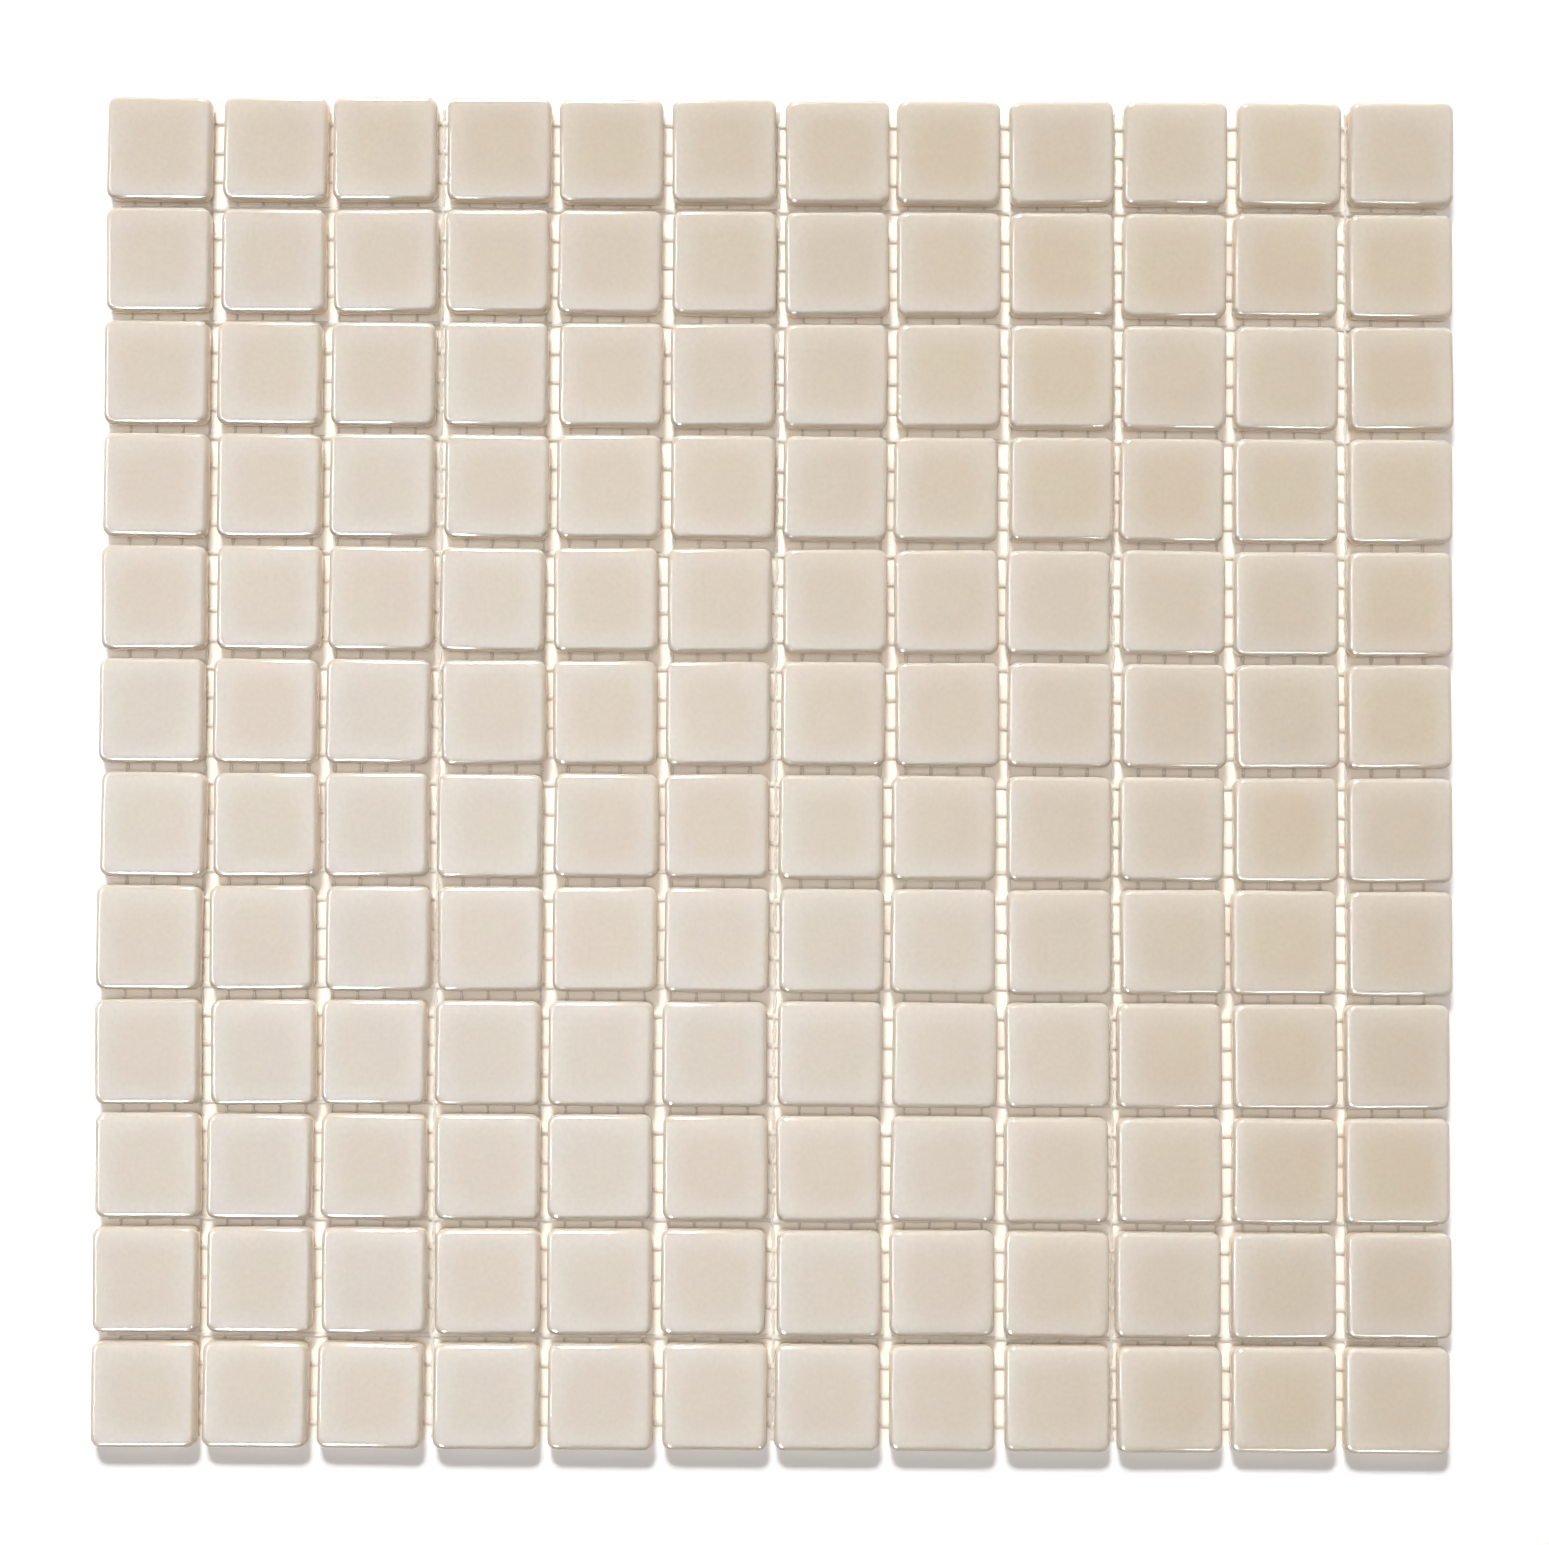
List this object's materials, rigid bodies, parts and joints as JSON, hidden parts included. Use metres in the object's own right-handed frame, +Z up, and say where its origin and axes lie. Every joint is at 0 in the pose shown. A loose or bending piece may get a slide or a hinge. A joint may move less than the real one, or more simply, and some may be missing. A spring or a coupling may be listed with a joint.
{
  "type": "mosaic tile sheet",
  "caption": "Square sheet of glossy cream glass mosaic tiles in a grid with open joints, held from behind by a glass-fibre mesh",
  "frame": {"origin": "middle of the sheet, on the plane that it lies on (the underside of the mesh)", "axes": "+Z up through the tiles' faces, +X along the rows to the right, +Y up the columns, away from the viewer as the sheet is shown"},
  "size_m": [0.2992, 0.2983, 0.0044],
  "materials": {
    "glass_tile": "glossy opaque cream pressed glass with fire-polished edges",
    "backing_mesh": "white coated glass-fibre yarn, open leno weave"
  },
  "bodies": {
    "root": {"tile_row_01": "glass_tile", "tile_row_02": "glass_tile", "tile_row_03": "glass_tile", "tile_row_04": "glass_tile", "tile_row_05": "glass_tile", "tile_row_06": "glass_tile", "tile_row_07": "glass_tile", "tile_row_08": "glass_tile", "tile_row_09": "glass_tile", "tile_row_10": "glass_tile", "tile_row_11": "glass_tile", "tile_row_12": "glass_tile", "backing_mesh_1": "backing_mesh", "backing_mesh_2": "backing_mesh", "backing_mesh_3": "backing_mesh", "backing_mesh_4": "backing_mesh", "backing_mesh_5": "backing_mesh", "backing_mesh_6": "backing_mesh"}
  },
  "joints": []
}
